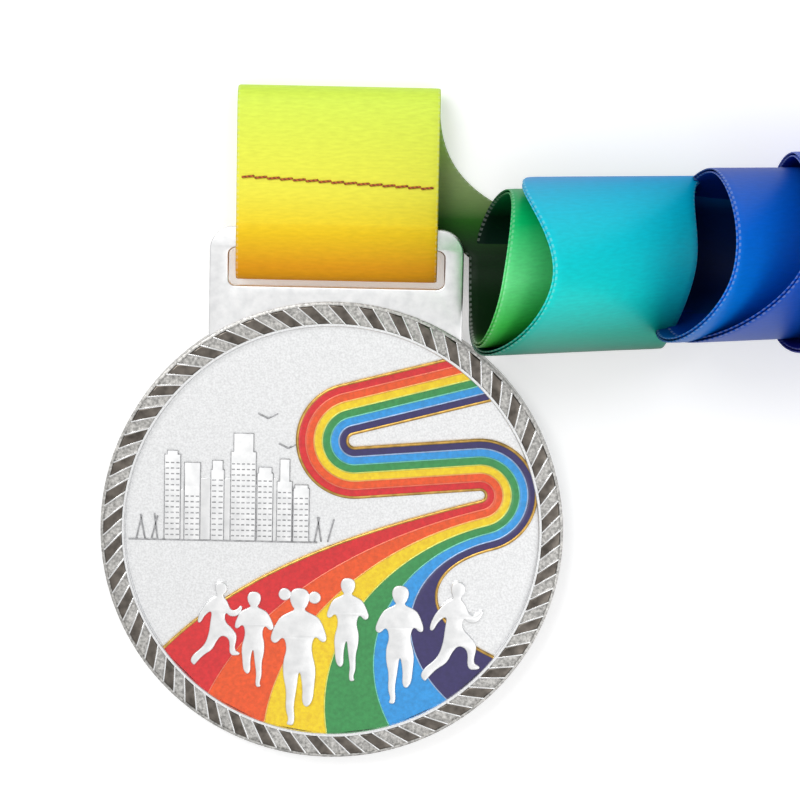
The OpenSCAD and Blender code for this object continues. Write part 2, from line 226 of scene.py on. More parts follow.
def joined(name, pieces):
    """Several pieces as one mesh."""
    work = bmesh.new()
    for piece in pieces:
        work.from_mesh(piece.data)
        bpy.data.objects.remove(piece)
    mesh = bpy.data.meshes.new(name)
    work.to_mesh(mesh)
    work.free()
    mesh.shade_smooth()
    mesh.set_sharp_from_angle(angle=math.radians(35))
    return add_object(name, mesh)


def circle_points(centre, radius, count, start=0.0, end=360.0):
    return [
        (centre[0] + radius * math.cos(math.radians(start + (end - start) * i / count)),
         centre[1] + radius * math.sin(math.radians(start + (end - start) * i / count)))
        for i in range(count + (abs(end - start) < 360))]


def rounded_box(left, bottom, right, top, r_bottom, r_top, steps=10):
    return (circle_points((right - r_bottom, bottom + r_bottom), r_bottom, steps, -90, 0)
            + circle_points((right - r_top, top - r_top), r_top, steps, 0, 90)
            + circle_points((left + r_top, top - r_top), r_top, steps, 90, 180)
            + circle_points((left + r_bottom, bottom + r_bottom), r_bottom, steps, 180, 270))


# ---------------------------------------------------------------- node groups


def new_group(name, sockets):
    """An empty node group with the named inputs and one geometry output."""
    group = bpy.data.node_groups.new(name, "GeometryNodeTree")
    for label, kind in sockets:
        group.interface.new_socket(label, in_out="INPUT", socket_type="NodeSocket" + kind)
    group.interface.new_socket("Geometry", in_out="OUTPUT", socket_type="NodeSocketGeometry")
    return group, group.nodes.new("NodeGroupInput").outputs


def send_out(group, geometry, material):
    """Ends a group: its instances are made real, painted and sent out."""
    real = group.nodes.new("GeometryNodeRealizeInstances")
    paint = group.nodes.new("GeometryNodeSetMaterial")
    out = group.nodes.new("NodeGroupOutput")
    group.links.new(geometry, real.inputs[0])
    group.links.new(real.outputs[0], paint.inputs["Geometry"])
    group.links.new(material, paint.inputs["Material"])
    group.links.new(paint.outputs[0], out.inputs[0])
    return group


def repeat_group():
    """Copies one piece along a row and round a ring."""
    sockets = (("Piece", "Object"), ("Count", "Int"), ("Step", "Vector"), ("Turn", "Float"),
               ("Material", "Material"))
    group, given = new_group("Repeat a piece", sockets)
    nodes, link = group.nodes, group.links.new
    points = nodes.new("GeometryNodePoints")
    index = nodes.new("GeometryNodeInputIndex")
    place = nodes.new("ShaderNodeVectorMath")
    place.operation = "SCALE"
    turn = nodes.new("ShaderNodeMath")
    turn.operation = "MULTIPLY"
    spin = nodes.new("ShaderNodeCombineXYZ")
    info = nodes.new("GeometryNodeObjectInfo")
    copies = nodes.new("GeometryNodeInstanceOnPoints")
    link(given["Count"], points.inputs["Count"])
    link(given["Step"], place.inputs[0])
    link(index.outputs[0], place.inputs["Scale"])
    link(place.outputs[0], points.inputs["Position"])
    link(index.outputs[0], turn.inputs[0])
    link(given["Turn"], turn.inputs[1])
    link(turn.outputs[0], spin.inputs["Z"])
    link(given["Piece"], info.inputs["Object"])
    link(points.outputs[0], copies.inputs["Points"])
    link(info.outputs["Geometry"], copies.inputs["Instance"])
    link(spin.outputs[0], copies.inputs["Rotation"])
    return send_out(group, copies.outputs[0], given["Material"])


def wire_group():
    """Sweeps a round wire along a path."""
    sockets = (("Geometry", "Geometry"), ("Radius", "Float"), ("Material", "Material"))
    group, given = new_group("Wire along a path", sockets)
    nodes, link = group.nodes, group.links.new
    path = nodes.new("GeometryNodeMeshToCurve")
    ring = nodes.new("GeometryNodeCurvePrimitiveCircle")
    ring.inputs["Resolution"].default_value = 12
    sweep = nodes.new("GeometryNodeCurveToMesh")
    sweep.inputs["Fill Caps"].default_value = True
    link(given["Geometry"], path.inputs[0])
    link(given["Radius"], ring.inputs["Radius"])
    link(path.outputs[0], sweep.inputs["Curve"])
    link(ring.outputs[0], sweep.inputs["Profile Curve"])
    return send_out(group, sweep.outputs[0], given["Material"])


def set_inputs(modifier, values):
    for item in modifier.node_group.interface.items_tree:
        if item.in_out == "INPUT" and item.name in values:
            modifier[item.identifier] = values[item.name]


def made_by_nodes(holder, name, group, values, sharp=35):
    """Runs a node group on a holder, which is used up, and keeps the mesh that it makes."""
    modifier = holder.modifiers.new("Nodes", "NODES")
    modifier.node_group = group
    set_inputs(modifier, values)
    return plain_mesh(holder, name, sharp)


def repeated(name, seed, count, step, turn, paint, sharp=35):
    """Copies of a seed piece, which is used up."""
    seed.hide_render = True
    holder = add_object(name + "_holder", bpy.data.meshes.new(name))
    values = {"Piece": seed, "Count": count, "Step": step, "Turn": turn, "Material": paint}
    group = bpy.data.node_groups.get("Repeat a piece") or repeat_group()
    piece = made_by_nodes(holder, name, group, values, sharp)
    bpy.data.objects.remove(seed)
    return piece


def wire(name, path, z, radius, paint):
    """A round wire at one height along a path of flat points."""
    mesh = bpy.data.meshes.new(name)
    points = [(p[0], p[1], z) for p in path]
    mesh.from_pydata(points, [(i, i + 1) for i in range(len(points) - 1)], [])
    group = bpy.data.node_groups.get("Wire along a path") or wire_group()
    holder = add_object(name + "_path", mesh)
    return made_by_nodes(holder, name, group, {"Radius": radius, "Material": paint}, 60)


# ---------------------------------------------------------------- materials


class Paint:
    """A new material with a Principled shader, and short ways to add nodes."""

    def __init__(self, name, colour=(0.8, 0.8, 0.8), metal=0.0, rough=0.5):
        self.material = bpy.data.materials.new(name)
        self.material.use_nodes = True
        self.tree = self.material.node_tree
        self.shader = self.tree.nodes["Principled BSDF"]
        self.set("Base Color", (*colour, 1))
        self.set("Metallic", metal)
        self.set("Roughness", rough)

    def set(self, socket, value):
        self.shader.inputs[socket].default_value = value

    def node(self, kind, **inputs):
        node = self.tree.nodes.new(kind)
        for name, value in inputs.items():
            node.inputs[name.replace("_", " ")].default_value = value
        return node

    def link(self, out, into):
        self.tree.links.new(out, into)

    def place(self):
        return self.node("ShaderNodeTexCoord").outputs["Object"]

    def noise(self, scale, detail=2.0, where=None):
        node = self.node("ShaderNodeTexNoise", Scale=scale, Detail=detail)
        self.link(where or self.place(), node.inputs["Vector"])
        return node.outputs["Fac"]

    def bump(self, height, depth, strength=1.0):
        node = self.node("ShaderNodeBump", Distance=depth, Strength=strength)
        self.link(height, node.inputs["Height"])
        self.link(node.outputs[0], self.shader.inputs["Normal"])

    def ramp(self, value, stops):
        node = self.tree.nodes.new("ShaderNodeValToRGB")
        while len(node.color_ramp.elements) < len(stops):
            node.color_ramp.elements.new(0.5)
        for element, (position, colour) in zip(node.color_ramp.elements, sorted(stops)):
            element.position = position
        for element, (position, colour) in zip(node.color_ramp.elements, sorted(stops)):
            element.color = (*colour, 1)
        self.link(value, node.inputs[0])
        return node.outputs["Color"]

    def speckle(self, value, colour, low, high, socket="Base Color"):
        """Varies a colour between a darker and a lighter tone."""
        dark = tuple(c * low for c in colour)
        light = tuple(min(1.0, c * high) for c in colour)
        self.link(self.ramp(value, [(0.32, dark), (0.68, light)]), self.shader.inputs[socket])


# Darker than the silver: painted shade in the rim's channel and on its outer edge
RIM_SHADE_COLOUR = (0.5, 0.49, 0.47)
# Dark grey of the skyline's lines, windows and tower outlines: painted shade, as in shadowed engraved
# lines
LINE_SHADE_COLOUR = (0.42, 0.42, 0.43)
# Lines between lanes, from the red side
LINE_TINTS = (
    (0.95, 0.22, 0.14), (1.0, 0.5, 0.16), (0.75, 0.8, 0.2), (0.2, 0.62, 0.5), (0.4, 0.55, 0.8))


def metal(name, tint, rough, grain, tones, relief=None, metallic=1.0):
    """Speckled metal. Grain is (scale, detail), relief is (scale, detail, depth in mm, strength)."""
    paint = Paint(name, tuple(tint), metallic, rough)
    paint.speckle(paint.noise(*grain), tuple(tint), *tones)
    if relief:
        scale, detail, depth, strength = relief
        paint.bump(paint.noise(scale, detail), depth * MM, strength)
    return paint.material


def blasted_silver():
    """Fine sand-blasted grain with a soft gleam."""
    silver = bpy.context.scene.medal_settings.silver
    return metal("blasted silver", silver, 0.42, (3600, 3), (0.86, 1.05), (3600, 3, 0.05, 0.4))


def smooth_silver(name="smooth silver", rough=0.3):
    """Lightly tumbled metal of the tab, runners and lines."""
    silver = bpy.context.scene.medal_settings.silver
    return metal(name, silver, rough, (700, 4), (0.92, 1.08), (2500, 2, 0.02, 0.35))


def bar_painted_dark_metal():
    """Mirror-like faces of the rim bars, painted dark: painted shade and dark reflection on the silver."""
    polished = bpy.context.scene.medal_settings.polished
    return metal("polished bar", polished, 0.3, (600, 3), (0.7, 1.7), (2200, 2, 0.02, 0.3))


def rim_shade_grey():
    """Dull grain of the rim's channel and edge, darker than the silver as painted shade."""
    return metal("rim grey", RIM_SHADE_COLOUR, 0.45, (2400, 4), (0.6, 1.5), (2400, 4, 0.06, 0.5))


def shaded_line():
    """Metal of the skyline's fine lines, darkened as painted shade."""
    return metal("drawn line", LINE_SHADE_COLOUR, 0.4, (1500, 2), (0.7, 1.3))


def tinted_line(k):
    """The metal line between two lanes, coloured by the enamel beside it."""
    return metal("lane line %d" % k, LINE_TINTS[k - 1], 0.3, (900, 2), (0.85, 1.15), metallic=0.6)


def kerb_gold():
    """Warm metal of the road's two outer lines."""
    gold = bpy.context.scene.medal_settings.gold
    return metal("kerb gold", gold, 0.3, (900, 2), (0.75, 1.25))


def enamel(name):
    """Poured soft enamel: glossy, with a faint ripple and fine pigment."""
    colour = tuple(getattr(bpy.context.scene.medal_settings, name))
    paint = Paint("enamel " + name, colour, 0.0, 0.22)
    paint.set("Coat Weight", 0.5)
    paint.set("Coat Roughness", 0.08)
    paint.speckle(paint.noise(1800, 4), colour, 0.86, 1.12)
    paint.bump(paint.noise(420, 2), 0.04 * MM, 0.4)
    return paint.material


def sewing_thread():
    """Twisted thread: fine slanted ridges."""
    colour = tuple(bpy.context.scene.medal_settings.thread)
    paint = Paint("sewing thread", colour, 0.0, 0.6)
    wave = paint.node("ShaderNodeTexWave", Scale=900.0, Distortion=0.6)
    wave.bands_direction = "DIAGONAL"
    paint.link(paint.place(), wave.inputs["Vector"])
    paint.speckle(wave.outputs["Fac"], colour, 0.6, 1.35)
    paint.bump(wave.outputs["Fac"], 0.06 * MM, 0.7)
    return paint.material


# Dye along the ribbon with painted light: the place on its path, by name or by quarter turns of the curl,
# and the colour. The hue runs from orange through yellow and green to turquoise, blue and indigo; the
# bright stops on top of the turns are painted highlights, the near-black stops inside the curl and the
# dark stops on the hidden run are painted shade
DYE_AND_PAINTED_LIGHT = (
    ("start", (0.8, 0.34, 0.006)),
    ("loop", (1.0, 0.7, 0.015)),
    ("seam", (1.0, 0.93, 0.08)),
    ("panel", (0.82, 1.0, 0.11)),
    ("fold", (0.36, 0.68, 0.05)),
    # Painted sheen on the hidden run just past the fold, then painted shade under the tab
    ("under", (0.3, 0.4, 0.16)),
    ("tab", (0.02, 0.12, 0.008)),
    # Painted shade inside the first turn of the curl
    (0.0, (0.002, 0.02, 0.003)),
    (0.8, (0.002, 0.02, 0.003)),
    (1.15, (0.02, 0.2, 0.01)),
    (1.6, (0.07, 0.68, 0.1)),
    # Painted highlight on top of the first turn
    (2.0, (0.2, 0.95, 0.34)),
    (2.5, (0.0, 0.58, 0.16)),
    (3.1, (0.0, 0.25, 0.07)),
    # Painted shade inside the curl
    (3.6, (0.0, 0.012, 0.004)),
    (4.5, (0.0, 0.02, 0.014)),
    (5.1, (0.0, 0.13, 0.07)),
    (5.5, (0.0, 0.42, 0.3)),
    # Painted highlight on top of the second turn
    (5.9, (0.01, 0.9, 0.84)),
    (6.5, (0.0, 0.6, 0.8)),
    (7.0, (0.0, 0.24, 0.6)),
    # Painted shade inside the curl
    (7.6, (0.0, 0.01, 0.06)),
    (8.4, (0.0, 0.008, 0.05)),
    (9.0, (0.0, 0.08, 0.32)),
    (9.8, (0.0, 0.23, 0.88)),
    (10.4, (0.0, 0.14, 0.72)),
    (11.0, (0.0, 0.05, 0.38)),
    # Painted shade inside the curl
    (11.8, (0.0, 0.006, 0.05)),
    (13.0, (0.0, 0.045, 0.3)),
    (14.0, (0.0, 0.1, 0.66)),
    (15.2, (0.0, 0.045, 0.4)),
    (17.8, (0.03, 0.015, 0.3)),
)


def satin(stops):
    """Dyed satin with painted light: the colour follows the length, its dye hue mixed with painted
    highlights and painted shade, with cross ribs and dotted selvedges.
    """
    paint = Paint("dyed satin", (0.1, 0.6, 0.6), 0.0, 0.45)
    paint.set("Specular IOR Level", 0.14)
    # The colour by place along the path: dye hue with painted highlights and painted shade
    dye = paint.node("ShaderNodeAttribute")
    dye.attribute_name = "dye"
    colour = paint.ramp(dye.outputs["Fac"], stops)
    uv = paint.node("ShaderNodeUVMap")
    uv.uv_map = "weave"
    parts = paint.node("ShaderNodeSeparateXYZ")
    paint.link(uv.outputs[0], parts.inputs[0])
    stretch = paint.node("ShaderNodeVectorMath")
    stretch.operation = "MULTIPLY"
    stretch.inputs[1].default_value = (18, 2600, 1)
    paint.link(uv.outputs[0], stretch.inputs[0])
    ribs = paint.noise(1.0, 3, stretch.outputs[0])
    tone = paint.node("ShaderNodeMix")
    tone.data_type = "RGBA"
    tone.blend_type = "MULTIPLY"
    tone.inputs["Factor"].default_value = 0.55
    shades = paint.ramp(ribs, [(0.3, (0.8, 0.8, 0.8)), (0.7, (1.0, 1.0, 1.0))])
    paint.link(colour, tone.inputs["A"])
    paint.link(shades, tone.inputs["B"])
    edge = selvedge_mask(paint, parts)
    light = paint.node("ShaderNodeMix")
    light.data_type = "RGBA"
    light.inputs["B"].default_value = (0.75, 0.82, 0.78, 1)
    paint.link(edge, light.inputs["Factor"])
    paint.link(tone.outputs["Result"], light.inputs["A"])
    paint.link(light.outputs["Result"], paint.shader.inputs["Base Color"])
    paint.bump(ribs, 0.05 * MM, 0.5)
    return paint.material


def selvedge_mask(paint, parts):
    """Dots along both edges of the ribbon."""
    away = maths(paint, "ABSOLUTE", maths(paint, "SUBTRACT", parts.outputs["X"], 0.5))
    near_edge = maths(paint, "GREATER_THAN", away, 0.488)
    beat = maths(paint, "SINE", maths(paint, "MULTIPLY", parts.outputs["Y"], 2 * math.pi / (0.9 * MM)))
    dots = maths(paint, "GREATER_THAN", beat, -0.1)
    return maths(paint, "MULTIPLY", maths(paint, "MULTIPLY", near_edge, dots), 0.15)


def maths(paint, operation, a, b=None):
    node = paint.node("ShaderNodeMath")
    node.operation = operation
    for socket, value in zip(node.inputs, (a, b)):
        if isinstance(value, (int, float)):
            socket.default_value = value
        elif value is not None:
            paint.link(value, socket)
    return node.outputs[0]


def shared(name, make, *given):
    """A material made once and used again."""
    found = bpy.data.materials.get(name)
    return found if found else make(*given)


# ---------------------------------------------------------------- placing


def fit(piece, body, paint=None, nodes=()):
    """Paints a piece, puts it on its body and hides the imported nodes that it stands for."""
    if not piece.data.polygons:
        raise RuntimeError("%s came out without faces" % piece.name)
    if paint is not None:
        piece.data.materials.clear()
        piece.data.materials.append(paint)
    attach(piece, body)
    if nodes:
        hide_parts(*nodes)
    return piece


# ---------------------------------------------------------------- the road


def heading(a):
    return Vector((math.cos(math.radians(a)), math.sin(math.radians(a))))


def left_of(a):
    return Vector((-math.sin(math.radians(a)), math.cos(math.radians(a))))


def blend(a, b, t):
    return a + (b - a) * t


def bezier(p0, p1, p2, p3, t):
    return p0 * (1 - t) ** 3 + p1 * 3 * t * (1 - t) ** 2 + p2 * 3 * t * t * (1 - t) + p3 * t ** 3


HEADING_IN = 195
HEADING_MID = 5
BEND_1_R = 4.9 * MM
BEND_2_R = 4.7 * MM
STRAIGHT = 18.3 * MM
FAN_RIM_ANGLE = (216.4, 322.8)
FAN_HEADING = (226, 336)
FAN_START_PULL = (20 * MM, 12 * MM)
FAN_END_PULL = (17 * MM, 13 * MM)
RIM_REACH = 0.25 * MM
BEND_STEPS = 40
FAN_STEPS = 44


class Road:
    """The six-lane road's edges, from 0 on the red side to 6 on the indigo side."""

    def __init__(self, s):
        self.s = s
        self.scale = s.field_r / (DRAWN_FIELD_R * MM)
        self.bend_2 = Vector((22.3 * MM, 6 * MM)) * self.scale
        run_2_end = self.bend_2 + BEND_2_R * left_of(HEADING_MID)
        run_2_start = run_2_end - STRAIGHT * heading(HEADING_MID)
        self.bend_1 = run_2_start + BEND_1_R * left_of(HEADING_MID)
        self.run_1_end = self.bend_1 - BEND_1_R * left_of(HEADING_IN)
        self.end = self.bend_2 + BEND_2_R * left_of(HEADING_IN)

    def offset(self, k, d):
        return self.s.given.road_width * (k / len(LANES) - 0.5) + d

    def fan_curve(self, k, t):
        share = k / len(LANES)
        start = self.end + self.offset(k, 0) * left_of(HEADING_IN)
        finish = (self.s.field_r + RIM_REACH) * heading(blend(*FAN_RIM_ANGLE, share))
        out = start + blend(*FAN_START_PULL, share) * self.scale * heading(HEADING_IN)
        back = finish - blend(*FAN_END_PULL, share) * self.scale * heading(blend(*FAN_HEADING, share))
        return bezier(start, out, back, finish, t)

    def fan_point(self, k, d, t):
        ahead = self.fan_curve(k, t + 0.002) - self.fan_curve(k, t - 0.002)
        side = Vector((-ahead.y, ahead.x)).normalized()
        return self.fan_curve(k, t) + d * side

    def start_point(self, k, d):
        """Where the edge's straight first run meets the rim."""
        on_line = self.run_1_end + self.offset(k, d) * left_of(HEADING_IN)
        back = -heading(HEADING_IN)
        along = on_line.dot(back)
        reach = self.s.field_r + RIM_REACH
        return on_line + back * (math.sqrt(along ** 2 - on_line.length_squared + reach ** 2) - along)

    def edge(self, k, d=0.0):
        points = [self.start_point(k, d)]
        for i in range(BEND_STEPS + 1):
            a = blend(HEADING_IN, HEADING_MID + 360, i / BEND_STEPS)
            points.append(self.bend_1 - (BEND_1_R - self.offset(k, d)) * left_of(a))
        for i in range(BEND_STEPS + 1):
            a = blend(HEADING_MID + 360, HEADING_IN, i / BEND_STEPS)
            points.append(self.bend_2 + (BEND_2_R + self.offset(k, d)) * left_of(a))
        points += [self.fan_point(k, d, i / FAN_STEPS) for i in range(1, FAN_STEPS + 1)]
        return points


def lane_piece(road, i):
    """One lane of enamel, drawn up a little where it wets the metal lines."""
    s = road.s
    first = (s.given.kerb_width if i == 0 else s.given.line_width) * 0.3
    last = (s.given.kerb_width if i == len(LANES) - 1 else s.given.line_width) * 0.3
    top = s.field_z + s.given.enamel_thickness
    rise = 0.03 * MM
    section = ((0, -0.3 * MM), (0, rise), (0.12, 0), (0.35, -rise), (0.65, -rise),
               (0.88, 0), (1, rise), (1, -0.3 * MM))
    points = []
    for a, b in zip(road.edge(i, first), road.edge(i + 1, -last)):
        for share, height in section:
            flat = a.lerp(b, share)
            points.append((flat.x, flat.y, top + height))
    rings = len(points) // len(section)
    name = "enamel_lane_" + LANES[i]
    piece = mesh_piece(name, points, tube_faces(rings, len(section), False), 50)
    return fit(piece, "medal", enamel(LANES[i]), ["enamel_" + LANES[i]])


def road_line(road, k):
    """The metal line at edge k: gold at the kerbs, tinted metal between lanes."""
    s = road.s
    kerb = k in (0, len(LANES))
    radius = (s.given.kerb_width if kerb else s.given.line_width) / 2
    paint = shared("kerb gold", kerb_gold) if kerb else tinted_line(k)
    name = "kerb_line_%d" % k if kerb else "lane_line_%d" % k
    z = s.field_z + s.given.line_relief - radius
    return fit(wire(name, road.edge(k), z, radius, paint), "medal")


# ---------------------------------------------------------------- runners and skyline

FRONT_POSE = (
    (0, 1), (0.055, 0.985), (0.075, 0.93), (0.055, 0.865), (0.03, 0.84), (0.12, 0.8), (0.155, 0.76),
    (0.2, 0.66), (0.2, 0.61), (0.16, 0.59), (0.11, 0.65), (0.085, 0.56), (0.112, 0.47), (0.11, 0.36),
    (0.085, 0.26), (0.09, 0.12), (0.065, 0.05), (0.085, 0.01), (0.03, 0), (0.02, 0.06), (0.03, 0.14),
    (0.01, 0.28), (-0.005, 0.42), (-0.03, 0.28), (-0.025, 0.17), (-0.06, 0.13), (-0.105, 0.18),
    (-0.115, 0.3), (-0.125, 0.42), (-0.085, 0.56), (-0.11, 0.66), (-0.165, 0.6), (-0.205, 0.63),
    (-0.155, 0.765), (-0.12, 0.8), (-0.03, 0.84), (-0.055, 0.865), (-0.075, 0.93), (-0.055, 0.985))
SIDE_POSE = (
    (0.07, 1), (0.13, 0.975), (0.15, 0.92), (0.13, 0.86), (0.09, 0.84), (0.15, 0.77), (0.18, 0.68),
    (0.24, 0.66), (0.3, 0.73), (0.33, 0.7), (0.27, 0.59), (0.17, 0.59), (0.13, 0.64), (0.115, 0.54),
    (0.22, 0.44), (0.27, 0.36), (0.23, 0.2), (0.3, 0.17), (0.29, 0.13), (0.17, 0.13), (0.18, 0.32),
    (0.09, 0.37), (0.03, 0.3), (-0.02, 0.19), (-0.12, 0.13), (-0.2, 0.04), (-0.23, 0), (-0.28, 0.06),
    (-0.24, 0.14), (-0.14, 0.22), (-0.09, 0.3), (-0.06, 0.42), (-0.05, 0.52), (-0.03, 0.66),
    (-0.11, 0.6), (-0.16, 0.5), (-0.205, 0.52), (-0.16, 0.66), (-0.05, 0.79), (0.03, 0.83),
    (0.01, 0.87), (0, 0.93), (0.02, 0.98))
BUNCH_PLACES = ((0.105, 0.95), (-0.105, 0.93))
BUNCH_R = 0.045
# Each runner: name, foot x and y in millimetres, height, pose, facing, hair in bunches
RUNNERS = (
    ("far_left", -17.6, -21.2, 13.2, SIDE_POSE, 1, False),
    ("left", -11.6, -24.4, 15.0, FRONT_POSE, 1, False),
    ("front", -4.7, -30.3, 21.6, FRONT_POSE, -1, True),
    ("middle", 2.6, -23.2, 16.2, FRONT_POSE, 1, False),
    ("right", 10.6, -26.6, 18.6, FRONT_POSE, -1, False),
    ("far_right", 18.2, -23.0, 15.8, SIDE_POSE, 1, False),
)


def soften(points):
    """Rounds a closed outline by cutting its corners."""
    ring = [Vector(p) for p in points]
    return [ring[i].lerp(ring[(i + 1) % len(ring)], t) for i in range(len(ring)) for t in (0.25, 0.75)]


def runner_piece(s, spec):
    name, x, y, height, pose, facing, bunches = spec
    scale = s.field_r / DRAWN_FIELD_R
    foot = Vector((x, y)) * scale
    size = height * scale
    outline = [foot + size * Vector((p.x * facing, p.y)) for p in soften(soften(pose))]
    low, high = s.field_z - SINK, s.field_z + s.given.runner_relief
    parts = [pressed("runner", [outline], low, high, 0.16 * MM, 50)]
    if bunches:
        for px, py in BUNCH_PLACES:
            centre = foot + size * Vector((px * facing, py))
            ring = circle_points(centre, BUNCH_R * size, 32)
            parts.append(pressed("bunch", [ring], low, high, 0.16 * MM, 50))
    piece = joined("runner_" + name, parts)
    return fit(piece, "medal", shared("runner silver", smooth_silver, "runner silver", 0.36))


HORIZON_Y = -1.65
# Each tower in millimetres: left edge, width, height, roof width, roof height
TOWERS = (
    (-25.4, 2.4, 13.0, 1.6, 0.6),
    (-22.4, 2.4, 8.2, 2.4, 3.6),
    (-18.4, 2.0, 10.8, 1.6, 1.4),
    (-15.4, 3.8, 13.6, 3.0, 2.8),
    (-11.4, 2.4, 10.4, 2.0, 0.9),
    (-8.4, 2.3, 9.2, 1.5, 3.4),
    (-5.9, 2.4, 8.2, 2.0, 0.5),
)
LOW_BLOCKS = ((-23.2, 1.0, 7.6), (-20.0, 1.6, 9.4), (-16.5, 1.2, 9.4), (-11.7, 0.5, 8.6), (-9.1, 0.9, 9.6))
REEDS = ((-29.6, 0.8), (-28.3, -0.7), (-27.3, 0.9), (-26.4, -0.5), (-2.6, 0.7), (-1.6, -0.6), (-0.6, 0.9))
REED_H = 4.4
BIRDS = ((-9.9, 17.1, 3.0), (-6.8, 12.6, 2.8))
WINDOW_PITCH = 0.85


def box_outline(x, y, w, h):
    return [Vector((x, y)), Vector((x + w, y)), Vector((x + w, y + h)), Vector((x, y + h))]


def plate(s, name, x, y, w, h, extra=0.0, bevel=0.05):
    """A raised block of the skyline, given in millimetres."""
    scale = s.field_r / DRAWN_FIELD_R
    outline = [p * scale for p in box_outline(x, y, w, h)]
    top = s.field_z + s.given.skyline_relief + extra
    return pressed(name, [outline], s.field_z - SINK, top, bevel * MM)


def tower_piece(s, i, spec):
    x, w, h, roof_w, roof_h = spec
    parts = [plate(s, "wall", x, HORIZON_Y, w, h),
             plate(s, "roof", x + (w - roof_w) / 2, HORIZON_Y, roof_w, h + roof_h, -0.02 * MM)]
    piece = joined("tower_%d" % (i + 1), parts)
    return fit(piece, "medal", shared("tower silver", smooth_silver, "tower silver", 0.5))


def window_piece(s, i, spec):
    """Rows of small window bars up one tower, copied row by row."""
    x, w, h = spec[:3]
    across = max(2, round(w / 0.8))
    pitch = w / across
    row = [plate(s, "pane", x + (k + 0.2) * pitch, HORIZON_Y + 0.6, pitch * 0.6, 0.18, 0.08 * MM, 0.03)
           for k in range(across)]
    seed = joined("row", row)
    scale = s.field_r / DRAWN_FIELD_R
    count = int((h - 1.0) / WINDOW_PITCH)
    paint = shared("drawn line", shaded_line)
    piece = repeated("windows_%d" % (i + 1), seed, count, (0, WINDOW_PITCH * scale, 0), 0.0, paint)
    return fit(piece, "medal")


def tower_outline(s, i, spec):
    """A fine line round one tower and its roof."""
    x, w, h, roof_w, roof_h = spec
    left, right = x + (w - roof_w) / 2, x + (w + roof_w) / 2
    base, wall, roof = HORIZON_Y, HORIZON_Y + h, HORIZON_Y + h + roof_h
    corners = [(x, base), (x, wall), (left, wall), (left, roof), (right, roof), (right, wall),
               (x + w, wall), (x + w, base)]
    path = [Vector(p) * s.field_r / DRAWN_FIELD_R for p in corners]
    z = s.field_z + s.given.skyline_relief
    return fit(wire("tower_line_%d" % (i + 1), path, z, 0.075 * MM, shared("drawn line", shaded_line)),
               "medal")


def block_piece(s):
    """The low blocks between the towers."""
    parts = [plate(s, "block", x, HORIZON_Y, w, h, -0.05 * MM) for x, w, h in LOW_BLOCKS]
    return fit(joined("low_blocks", parts), "medal", shared("smooth silver", smooth_silver))


def ground_piece(s):
    """The horizon line, the reeds and the birds."""
    scale = s.field_r / DRAWN_FIELD_R
    line = s.given.line_width / MM
    parts = [plate(s, "horizon", -30.8, HORIZON_Y - line, 28.6, line)]
    strokes = [((x, HORIZON_Y), (x + lean, HORIZON_Y + REED_H - abs(lean))) for x, lean in REEDS]
    strokes += [((x, y), (x + side * w / 2, y + w / 4)) for x, y, w in BIRDS for side in (-1, 1)]
    for start, end in strokes:
        a, b = Vector(start) * scale, Vector(end) * scale
        side = Vector((a.y - b.y, b.x - a.x)).normalized() * s.given.line_width / 2
        top = s.field_z + s.given.skyline_relief
        parts.append(pressed("stroke", [[a - side, b - side, b + side, a + side]],
                             s.field_z - SINK, top, 0.04 * MM))
    piece = joined("skyline_strokes", parts)
    return fit(piece, "medal", shared("drawn line", shaded_line))


# ---------------------------------------------------------------- disc, rim and tab


def disc_piece(s):
    r, t, f = s.medal_r, s.medal_t, s.field_r
    drop, band, lip, c = 0.2 * MM, 0.5 * MM, 0.5 * MM, 0.5 * MM
    profile = [(0, 0), (r - c, 0), (r - 0.29 * c, 0.1 * c), (r - 0.08 * c, 0.35 * c), (r, c),
               (r, t - drop - 0.25 * MM), (r - 0.07 * MM, t - drop - 0.07 * MM), (r - 0.25 * MM, t - drop),
               (r - band + 0.05 * MM, t - drop), (r - band, t - drop - 0.05 * MM), (r - band, s.channel_z),
               (f + lip, s.channel_z), (f + lip, t - drop - 0.05 * MM), (f + lip - 0.05 * MM, t - drop),
               (f + 0.12 * MM, t - drop), (f + 0.03 * MM, t - drop - 0.08 * MM), (f, t - drop - 0.2 * MM),
               (f, s.field_z + 0.05 * MM), (f - 0.05 * MM, s.field_z)]
    steps = 6
    profile += [(f * (1 - k / steps), s.field_z) for k in range(1, steps + 1)]
    piece = lathe("disc_blank", profile, 192, 30)
    fit(piece, "medal", shared("blasted silver", blasted_silver), ["medal_casting"])
    piece.data.materials.append(rim_shade_grey())
    # The rim's channel and outer edge take the darker grey: painted shade
    for face in piece.data.polygons:
        x, y, z = face.center
        face.material_index = int(math.hypot(x, y) > f + 0.3 * MM and z > 0.2 * MM)
    return piece


def rim_edge_piece(s, half, lean):
    """Bright raised lines along both long sides of a rim bar, copied round the rim."""
    r_out, r_in = s.medal_r - 0.45 * MM, s.field_r + 0.4 * MM
    strips = []
    for side in (-1, 1):
        a, b = r_out * heading(side * half), r_in * heading(side * half - lean)
        across = Vector((a.y - b.y, b.x - a.x)).normalized() * 0.11 * MM
        outline = [a - across, b - across, b + across, a + across]
        strips.append(pressed("edge", [outline], s.channel_z, s.medal_t + 0.02 * MM, 0.06 * MM, 40))
    seed = joined("edges", strips)
    turn = 2 * math.pi / s.given.bar_count
    paint = smooth_silver("bright edge", 0.22)
    piece = repeated("rim_bar_edges", seed, s.given.bar_count, (0, 0, 0), turn, paint, 40)
    return fit(piece, "medal")


